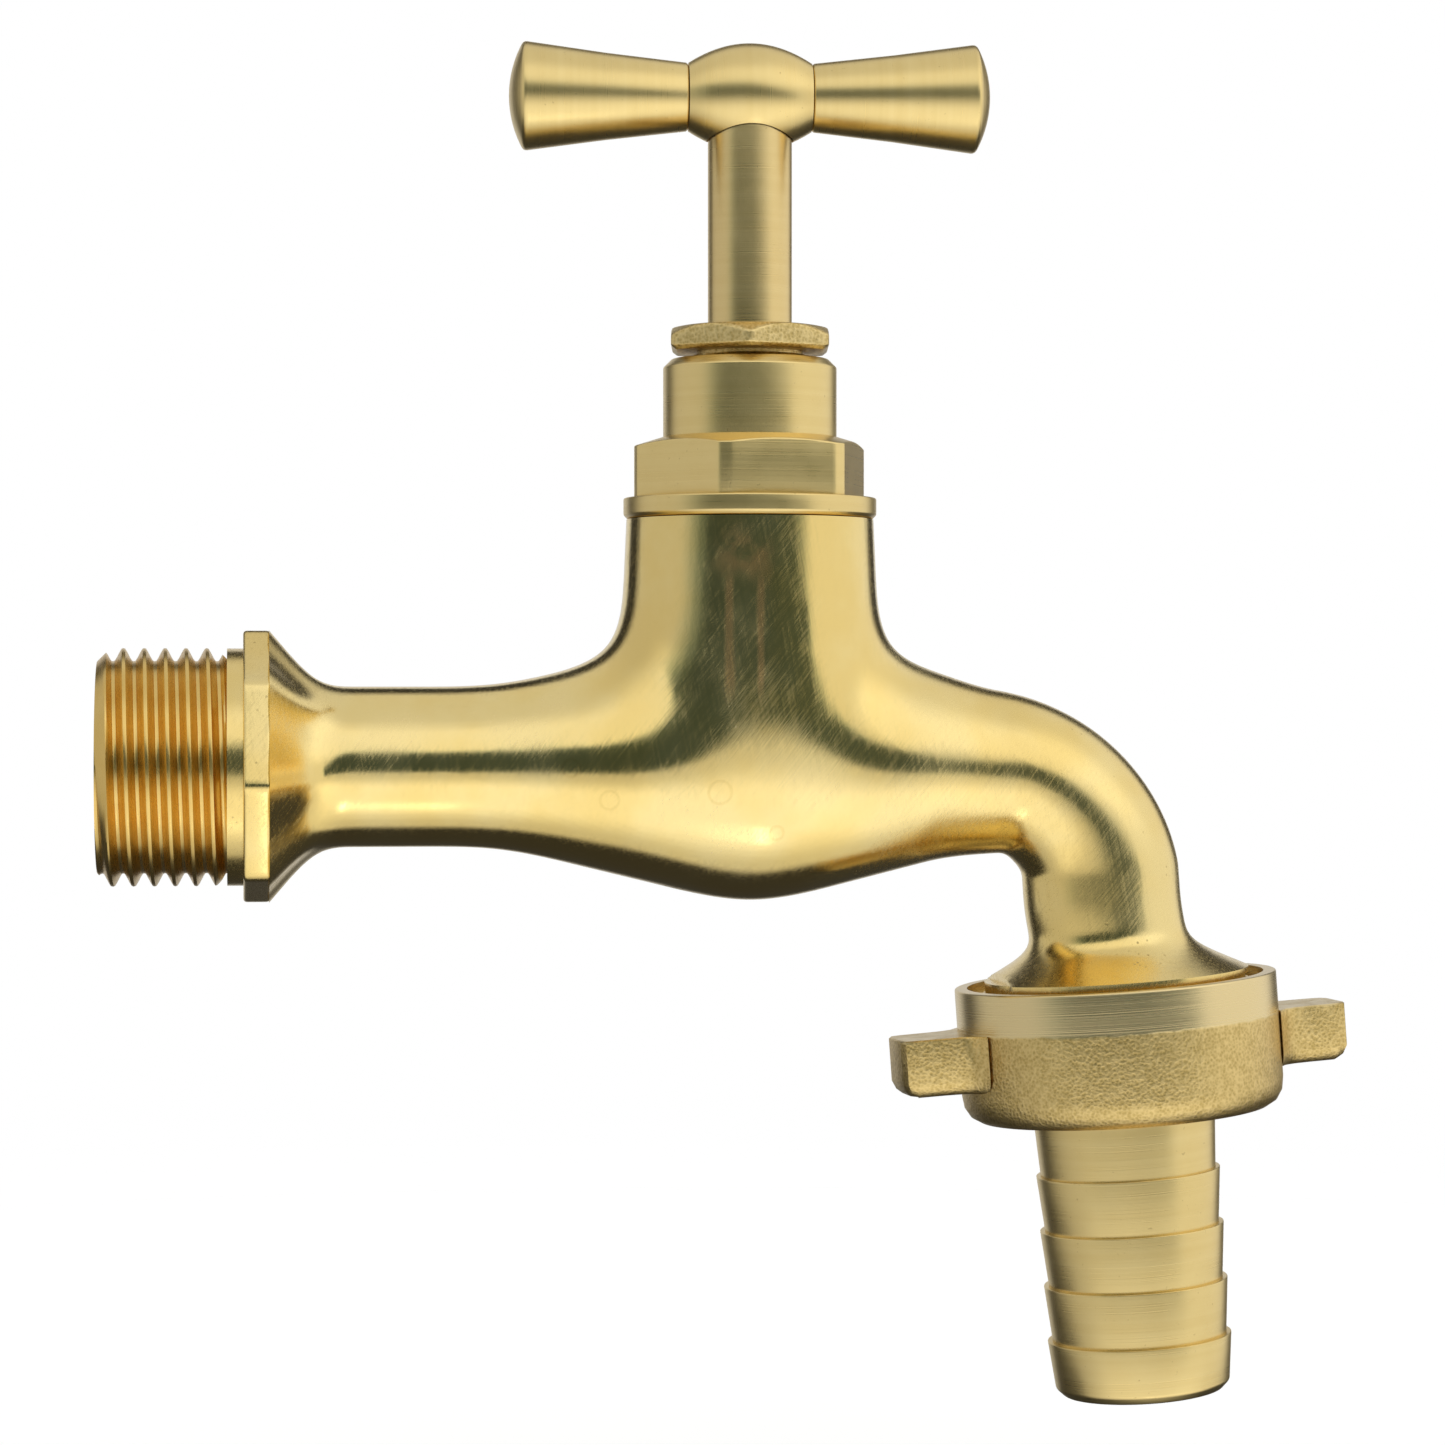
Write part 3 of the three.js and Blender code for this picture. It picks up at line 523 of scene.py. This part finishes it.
# ---- Bonnet -----------------------------------------------------------------------------------
# The brass head that screws into the neck and carries the spindle. It is turned from hexagon
# bar, so its flats are drawn and plain, and the turning tool leaves a cone over their corners.

def turned_brass(name, direction, middle=(0, 0, 0), tone=0.0):
    """Brass with fine tool lines round an axis that points in a direction."""
    material, tree, point = new_material(name)
    centred = tree.node("ShaderNodeVectorMath", {"operation": "SUBTRACT"}, {0: point, 1: middle})
    along = tree.node(
        "ShaderNodeVectorMath", {"operation": "DOT_PRODUCT"}, {0: centred, 1: direction}, "Value"
    )
    line = {"noise_dimensions": "1D"}
    fine = tree.node("ShaderNodeTexNoise", line, {"W": along, "Scale": 9.0, "Detail": 3.0})
    broad = tree.node("ShaderNodeTexNoise", line, {"W": along, "Scale": 1.1, "Detail": 2.0})
    smear = noise(tree, point, .35, 3)
    specks = tree.step(noise(tree, point, 2.6, 2), .7, .78)
    gold = blended(
        tree, .55 * smear + .45 * broad,
        (.74 - tone, .55 - tone, .21, 1), (.88 - tone, .7 - tone, .32, 1),
    )
    gold = blended(tree, specks * .35, gold, (.3, .2, .08, 1))
    metal(tree, gold, .2 + .14 * fine + .08 * smear, .8 * fine + .5 * broad - .6 * specks, .22)
    return material


bonnet_bottom, bonnet_ledge, hex_bottom, hex_top, bonnet_top = 11, 22.05, 23.9, 29.36, 36.3


def bonnet_outside(angle):
    side = min(many_sided(angle, 19, 6, radians(-109), 160), 10.68)
    cone = hex_top - (side - 7.75) * .91 / 2.93
    return [
        [0, bonnet_bottom], [7.6, bonnet_bottom, .4], [7.6, bonnet_ledge], [10.95, bonnet_ledge, .1],
        [11.3, bonnet_ledge + .35, .15], [11.3, hex_bottom, .18], [side - .02, hex_bottom],
        [side, hex_bottom + .1], [side, cone, .16], [7.75, hex_top], [7.75, bonnet_top - .75, .12],
        [7, bonnet_top, .12], [0, bonnet_top],
    ]


bonnet = turned("bonnet_fine", bonnet_outside, 240, along_spindle)
carve(bonnet, "UNION", screw("bonnet_screw", 9, 8.1, 1.5, 14.2, 20.8, along_spindle))
carve(bonnet, "DIFFERENCE", turned("bonnet_bore", [
    [0, 10], [5.65, 10], [5.65, 22.25], [4, 22.25], [4, 24.15], [5.2, 24.15], [5.2, 30.5],
    [5.9, 30.5], [5.9, 35.9], [6.4, 37], [0, 37],
], 96, along_spindle))
bonnet_brass = turned_brass("turned_brass_upright", (0, 0, 1))
complete(bonnet, "tap_body", ["bonnet"], [bonnet_brass])

# Gasket under the bonnet: a ring punched from red fibre sheet, nipped between bonnet and neck.
red_fibre, tree, point = new_material("red_fibre")
hairs = noise(tree, mapped(tree, point, (.4, .3, .2), (6, 1.2, 6)), 1, 4, .7)
metal(tree, blended(tree, hairs, (.2, .035, .02, 1), (.36, .09, .05, 1)), .8 + .15 * hairs, hairs, .5,
      .00008, 0.0)


def keep(names, material):
    """A frame node whose shape is right keeps it, and gets its real finish."""
    for name in names:
        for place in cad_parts[name].material_slots:
            place.material = material


keep(["bonnet_gasket"], red_fibre)


# ---- Spindle ----------------------------------------------------------------------------------
# A turned brass rod. Its lower end is threaded in the bonnet and holds the disc in a socket, and
# its upper end goes up through the packing and the gland screw into the handle's hub.
handle_z, handle_turn = 59.7, radians(-3.5)
along_handle = (
    Matrix.Translation((spindle_x / 1000, 0, handle_z / 1000)) @ Matrix.Rotation(handle_turn, 4, "Z")
    @ Matrix(((0, 0, 1, 0), (-1, 0, 0, 0), (0, -1, 0, 0), (0, 0, 0, 1)))
)
stem = turned("spindle_fine", [
    [0, 5.25], [4.3, 5.25, .3], [4.3, 16.6, .2], [3.75, 16.75], [3.75, 61.35, .3], [0, 61.35],
], 96, along_spindle)
carve(stem, "UNION", screw("spindle_screw", 5.5, 4.6, 1.75, 6.75, 16.95, along_spindle))
carve(
    stem, "DIFFERENCE",
    turned("disc_socket", [[0, 4.25], [2.6, 4.25], [2.6, 13.9], [0, 13.9]], 64, along_spindle),
    turned("ring_groove", [[0, 8.6], [3.15, 8.6], [3.15, 9.4], [0, 9.4]], 64, along_spindle),
    turned("cross_hole", [[0, -11], [2, -11], [2, 11], [0, 11]], 64, along_handle),
)
stem_brass = turned_brass("turned_brass_stem", (0, 0, 1), (0, 0, 3.7), .03)
complete(stem, "spindle_and_handle", ["spindle"], [stem_brass])


# ---- Stuffing box -----------------------------------------------------------------------------
# A brass washer, three white packing rings and a brass ring lie in the bonnet round the spindle.
# The gland screw, a hexagon left as it was cast, presses them so that no water passes.
white_packing, tree, point = new_material("white_ptfe")
cloudy = noise(tree, point, 1.4, 3)
metal(tree, blended(tree, cloudy, (.78, .76, .7, 1), (.88, .87, .82, 1)), .5 + .2 * cloudy, cloudy, .3,
      .00005, 0.0)
keep(["packing_ring_1", "packing_ring_2", "packing_ring_3"], white_packing)
keep(["packing_washer", "gland_ring"], bonnet_brass)


def grain(tree, point):
    """The skin that sand leaves on a casting: small hard grains, and a few deeper pits."""
    crystals = tree.node("ShaderNodeTexVoronoi", {"feature": "SMOOTH_F1"}, {
        "Vector": point, "Scale": 3.4, "Smoothness": .25,
    })
    return .6 * crystals + .7 * noise(tree, point, 4.2, 4, .7) + .5 * noise(tree, point, .7, 2)


sand_brass, tree, point = new_material("rough_brass")
sand = grain(tree, point)
gold = blended(tree, tree.step(sand, .5, 1.2), (.5, .36, .12, 1), (.8, .62, .28, 1))
metal(tree, gold, .3 + .14 * noise(tree, point, 1.8, 3), sand, .55, .00009)


def gland_outside(angle):
    side = many_sided(angle, 14, 6, radians(-97), 90)
    dome = 39.15 - (side - 6.8) * .95 / 1.28
    return [
        [0, 30.8], [4.75, 30.8, .2], [4.75, 36.95], [side - .5, 36.95, .1], [side, 37.3, .15],
        [side, dome, .25], [6.8, 39.15, .5], [4, 39.15, .12], [4, 38.9], [0, 38.9],
    ]


gland = turned("gland_screw_fine", gland_outside, 192, along_spindle)
carve(gland, "UNION", screw("gland_thread", 5.75, 5.05, 1.25, 30.8, 36.65, along_spindle))
carve(gland, "DIFFERENCE", turned("gland_bore", [
    [0, 29], [4, 29], [4, 41], [0, 41],
], 96, along_spindle))
complete(gland, "tap_body", ["gland_screw"], [sand_brass])


# ---- Valve disc -------------------------------------------------------------------------------
# A turned brass plate on a stem, with a rubber washer under it that shuts on the seat. A small
# nut holds the washer, and a spring ring lets the spindle turn in the plate and still lift it.
black_rubber, tree, point = new_material("black_rubber")
dusty = noise(tree, point, 1.1, 4)
metal(tree, blended(tree, dusty, (.012, .012, .012, 1), (.04, .04, .038, 1)), .6 + .25 * dusty,
      noise(tree, point, 5, 3), .4, .00005, 0.0)
spring_steel, tree, point = new_material("spring_steel")
drawn = noise(tree, mapped(tree, point, (0, 0, 0), (1, 1, 8)), 1.4, 3)
metal(tree, blended(tree, drawn, (.38, .38, .39, 1), (.56, .56, .56, 1)), .28 + .15 * drawn, drawn, .2)
keep(["valve_disc", "washer_nut"], bonnet_brass)
keep(["valve_washer", "hose_gasket"], black_rubber)
keep(["disc_retaining_ring"], spring_steel)


# ---- T-bar handle -----------------------------------------------------------------------------
# A barrel-shaped brass hub sits over the spindle's end, and an arm goes into each side of it on
# a tenon that locks it to the spindle. All three are turned, with the tool's lines left to see.
handle_brass = turned_brass(
    "turned_brass_handle", (cos(handle_turn), sin(handle_turn), 0), (spindle_x, 0, handle_z)
)
hub_profile = [
    [4.8 - 1.75 * (share / 12) ** 2, share / 12 * 5.5] for share in range(-12, 13)
]
hub = turned("handle_hub_fine", [
    [0, -5.5], [2.9, -5.5], *[[max(radius, 3.05), height] for radius, height in hub_profile],
    [2.9, 5.5], [0, 5.5],
], 160, along_handle)
carve(
    hub, "DIFFERENCE",
    turned("stem_socket", [
        [0, handle_z - 6], [3.9, handle_z - 6], [3.9, handle_z + 1.9], [0, handle_z + 1.9],
    ], 96, along_spindle),
    turned("tenon_hole", [[0, -11], [2, -11], [2, 11], [0, 11]], 64, along_handle),
)
complete(hub, "spindle_and_handle", ["handle_hub"], [handle_brass])

arm_end_radius, arm_end, dome_height = 4.85, 21.5, 1.3
arm_outline = [
    [0, .25], [1.85, .25, .2], [1.85, 5.55], [2.92, 5.55, .12], [3.05, 5.75], [3.85, 12.86],
    [arm_end_radius, 20.2, .35],
]
dome_radius = (arm_end_radius ** 2 + dome_height ** 2) / (2 * dome_height)
for share in range(1, 9):
    away = arm_end_radius * (1 - share / 8)
    arm_outline.append([away, arm_end - dome_radius + (dome_radius ** 2 - away ** 2) ** .5])
for side, spin in (("right", 0), ("left", pi)):
    along_arm = along_handle @ Matrix.Rotation(spin, 4, "X")
    arm = turned(f"handle_arm_{side}_fine", arm_outline, 128, along_arm)
    complete(arm, "spindle_and_handle", [f"handle_arm_{side}"], [handle_brass])


# ---- Wing nut ---------------------------------------------------------------------------------
# A cast brass cup that draws the hose tail up against the outlet. The lathe cleaned its upper
# band and the tops of its two wings, and the rest keeps the skin of the sand mould.
nut = turned("wing_nut_fine", [
    [13.37, 0], [14.5, 0, .2], [14.5, 12.2, 2.6], [8.6, 12.2, .15], [8.6, 10.6, .1], [13.37, 10.6, .4],
    [13.37, .4, .1], [13.37, 0],
], 192, along_outlet)


def wing(side):
    """One wing: a flat lug with worn lower edges, and a fillet at its root on the cup."""
    mesh = bmesh.new()
    wing_turn = radians(-4)
    plan = [
        (13.6, 5.6), (14.6, 4.2), (15.6, 3.72), (17, 3.52), (19.5, 3.42), (20.45, 3.1), (20.75, 2.3),
    ]
    edge = plan + [(out, -half) for out, half in reversed(plan)]
    rings = []
    for height, inset in ((3.7, .12), (3.82, 0), (7.6, 0), (8.35, .3), (8.75, .75), (8.9, 1.3)):
        rings.append([
            mesh.verts.new((
                side * (out - (inset if out > 20 else 0)),
                side * (half - inset * (1 if half > 0 else -1)), height,
            ))
            for out, half in edge
        ])
    for ring, following in zip(rings, rings[1:]):
        for number in range(len(edge)):
            after = (number + 1) % len(edge)
            mesh.faces.new((ring[number], ring[after], following[after], following[number]))
    mesh.faces.new(rings[0])
    mesh.faces.new(rings[-1])
    bmesh.ops.recalc_face_normals(mesh, faces=mesh.faces)
    piece = bpy.data.objects.new("wing", bpy.data.meshes.new("wing"))
    mesh.to_mesh(piece.data)
    mesh.free()
    piece.data.transform(Matrix.Scale(.001, 4) @ Matrix.Rotation(wing_turn, 4, "Z"))
    piece.data.transform(along_outlet)
    bpy.context.scene.collection.objects.link(piece)
    return piece


carve(nut, "UNION", wing(1), wing(-1))
outlet_axis = (sin(outlet_tilt), 0, -cos(outlet_tilt))
nut_brass, tree, point = new_material("wing_nut_brass")
centred = tree.node("ShaderNodeVectorMath", {"operation": "SUBTRACT"}, {
    0: point, 1: (outlet_x, 0, outlet_z),
})
along = tree.node(
    "ShaderNodeVectorMath", {"operation": "DOT_PRODUCT"}, {0: centred, 1: outlet_axis}, "Value"
)
sand = grain(tree, point)
lines = tree.node("ShaderNodeTexNoise", {"noise_dimensions": "1D"}, {
    "W": along, "Scale": 8.0, "Detail": 3.0,
})
skin = tree.step(along + .5 * noise(tree, point, .6, 2), 3.85, 4.15)
gold = blended(tree, tree.step(sand, .5, 1.2), (.52, .37, .12, 1), (.8, .6, .25, 1))
gold = blended(tree, skin, (.8, .64, .33, 1), gold)
metal(tree, gold, .24 + skin * .1 + .08 * lines, skin * sand + (1 - skin) * lines * .25, .5, .0001)
complete(nut, "wing_nut", ["wing_nut"], [nut_brass])


# ---- Hose tail --------------------------------------------------------------------------------
# A turned brass tube whose collar is held by the wing nut. Four barbs point back up the tube, so
# the hose pushes on over them easily and doesn't pull off.
tail_bore, collar_top, tail_end = 5.9, 9, 37.4
barbs, first_barb, barb_pitch, barb_root = 4, 17.4, 5, 7.85
tail_outline = [
    [tail_bore, collar_top], [12, collar_top, .15], [12, 10.35, .15], [8.2, 10.35], [8.2, 12.2],
    [7.9, first_barb],
]
for barb in range(barbs):
    lip = first_barb + barb_pitch * barb
    last = barb == barbs - 1
    barb_end = [barb_root, lip + 4.3, .2] if last else [barb_root, lip + barb_pitch]
    tail_outline += [[8.3, lip, .1], barb_end]
tail_outline += [[7.15, tail_end, .2], [tail_bore, tail_end, .15], [tail_bore, collar_top]]
tail = turned("hose_tail_fine", tail_outline, 160, along_outlet)
tail_brass = turned_brass("turned_brass_tail", outlet_axis, (outlet_x, 0, outlet_z))
complete(tail, "hose_tail", ["hose_tail"], [tail_brass], 28)


# ---- Studio -----------------------------------------------------------------------------------
# A pale floor that fades out, an even white studio with a dark slot in front, a dim wall behind
# and one small lamp low in front, which polished metal needs to show its shape, and a camera at
# the height of the arm.
floor_mesh = bmesh.new()
bmesh.ops.create_circle(floor_mesh, cap_ends=True, radius=.42, segments=96,
                        matrix=Matrix.Translation((.045, 0, -.076)))
floor = bpy.data.objects.new("floor", bpy.data.meshes.new("floor"))
floor_mesh.to_mesh(floor.data)
floor_mesh.free()
bpy.context.scene.collection.objects.link(floor)
pale, tree, point = new_material("pale_floor")
x, y, z = tree.parts(point)
far = tree.maths("SQRT", (x - 45) * (x - 45) + y * y)
paint = tree.node("ShaderNodeBsdfPrincipled", {}, {
    "Base Color": (.93, .93, .92, 1), "Roughness": .9, "Emission Color": (1, 1, 1, 1),
    "Emission Strength": .34,
})
clear = tree.node("ShaderNodeBsdfTransparent")
faded = tree.node("ShaderNodeMixShader", {}, {0: tree.step(far, 120, 400), 1: paint, 2: clear})
tree.node("ShaderNodeOutputMaterial", {}, {"Surface": faded})
floor.data.materials.append(pale)
floor.visible_glossy = False

world = bpy.data.worlds.new("studio")
world.use_nodes = True
world.node_tree.nodes.clear()
bpy.context.scene.world = world
tree = Tree(world.node_tree)
x, y, z = tree.parts(tree.node("ShaderNodeTexCoord", {}, {}, "Generated"))
rise = tree.maths("ARCSINE", z) * degrees(1)
swing = tree.maths("ARCTAN2", x, -y) * degrees(1)
slot = tree.step(rise, -8, -5.5) * (1 - tree.step(rise + .36 * tree.greater(swing, 0), 20, 25))
slot = slot * tree.step(swing, -76, -42) * (1 - tree.step(swing, 44, 52))
lamp = (1 - tree.step(abs(x - .11), .02, .075)) * (1 - tree.step(abs(z + .84), .02, .08))
lamp = lamp * tree.step(-y, .2, .3)
beneath = tree.step(-z, .1, .45)
edge = .62 - .55 * beneath
gap = tree.step(y, edge - .05, edge + .12) * (1 - tree.step(y, .87, .92) * (1 - beneath))
above_front = tree.step(z, .2, .4) * (1 - tree.step(z, .75, .97)) * tree.step(-y, -.1, .5)
below_front = tree.step(-z, .2, .5) * tree.step(-y, .05, .55)
right = tree.step(x, .1, .9)
left = tree.step(-x, .1, .9)
glow = .74 + .34 * above_front + .5 * below_front + .2 * right - .12 * left + 1.8 * lamp
glow = glow * (1 - .89 * slot) * (1 - .94 * gap)
seen = tree.node("ShaderNodeLightPath", {}, {}, "Is Camera Ray")
strength = seen + (1 - seen) * glow
cool = blended(tree, slot * (1 - seen), (1, 1, 1, 1), (.72, 1, 1, 1))
light = tree.node("ShaderNodeBackground", {}, {"Color": cool, "Strength": strength})
tree.node("ShaderNodeOutputWorld", {}, {"Surface": light})

camera = bpy.data.objects.new("camera", bpy.data.cameras.new("camera"))
camera.data.lens, camera.data.sensor_width = 100, 36
camera.data.dof.use_dof = False
camera.location = (0, -.3562, .00679)
camera.rotation_euler = (radians(90 - .464), 0, radians(-6.81))
bpy.context.scene.collection.objects.link(camera)
bpy.context.scene.camera = camera
bpy.context.scene.view_settings.view_transform = "Standard"
